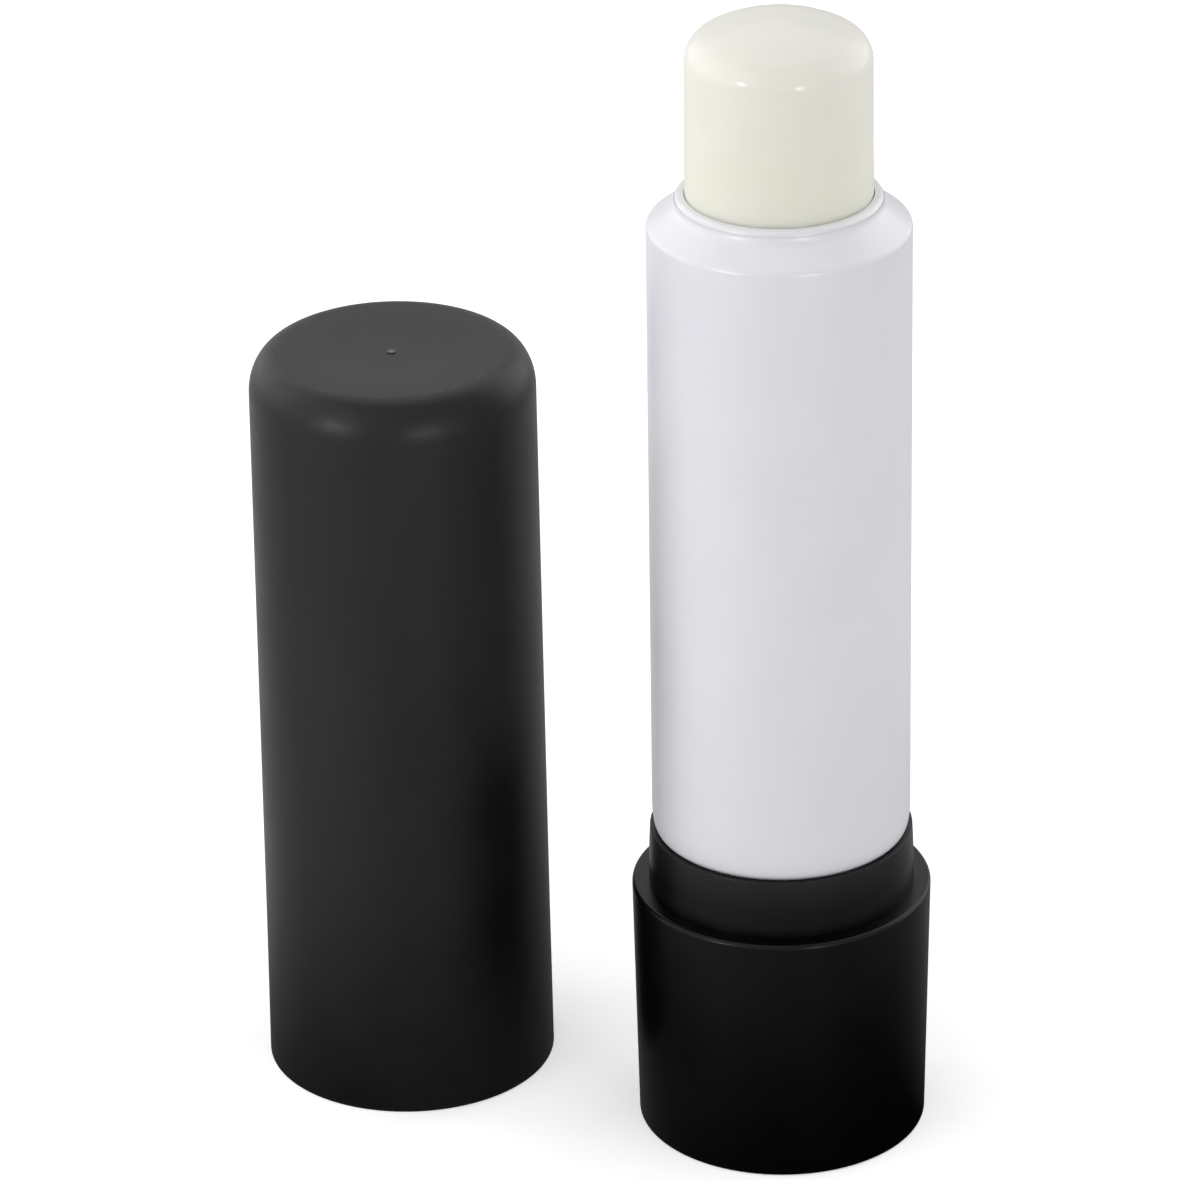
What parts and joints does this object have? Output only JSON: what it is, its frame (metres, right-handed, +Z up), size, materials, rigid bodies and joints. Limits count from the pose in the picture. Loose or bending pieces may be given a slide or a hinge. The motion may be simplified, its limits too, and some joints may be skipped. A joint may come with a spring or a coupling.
{
  "type": "lip balm stick",
  "caption": "Twist-up lip balm stick on a stepped base, white tube with a domed balm bullet wound out, and a round-edged cap stood beside it.",
  "frame": {"origin": "centre of the base's foot, on the surface that the stick stands on", "axes": "+Z up along the stick's axis to the balm's tip; the cap stands at -X and +Y of the stick"},
  "size_m": [0.0452, 0.0292, 0.0791],
  "materials": {
    "base_plastic": "black moulded plastic, satin gloss",
    "cap_plastic": "charcoal moulded plastic, satin",
    "shell_plastic": "cool white moulded plastic, satin gloss",
    "tube_plastic": "white moulded plastic, satin gloss",
    "natural_plastic": "undyed moulded plastic",
    "ring_rubber": "soft grey ring",
    "balm_wax": "cream-white wax balm, slightly translucent, soft sheen"
  },
  "bodies": {
    "stick_base": {"base": "base_plastic", "inner_tube": "tube_plastic", "drag_ring": "ring_rubber"},
    "shell": {"outer_shell": "shell_plastic", "spiral_sleeve": "natural_plastic"},
    "carrier": {"carrier_cup": "natural_plastic", "balm": "balm_wax"},
    "cap": {"cap": "cap_plastic"}
  },
  "joints": [
    {"name": "shell_twist", "type": "hinge", "parent": "stick_base", "child": "shell", "pos_m": [0, 0, 0.04], "axis": [0, 0, -1], "range_deg": [-234.8, 341.9]},
    {"name": "balm_rise", "type": "slide", "parent": "stick_base", "child": "carrier", "axis": [0, 0, 1], "range_m": [-0.01305, 0.019]},
    {"name": "cap_lift", "type": "slide", "parent": "stick_base", "child": "cap", "axis": [0, 0, 1], "range_m": [0, 0.0494]}
  ],
  "couplings": [
    {"joint": "balm_rise", "follows": "shell_twist", "m_per_rad": 0.0031831}
  ]
}
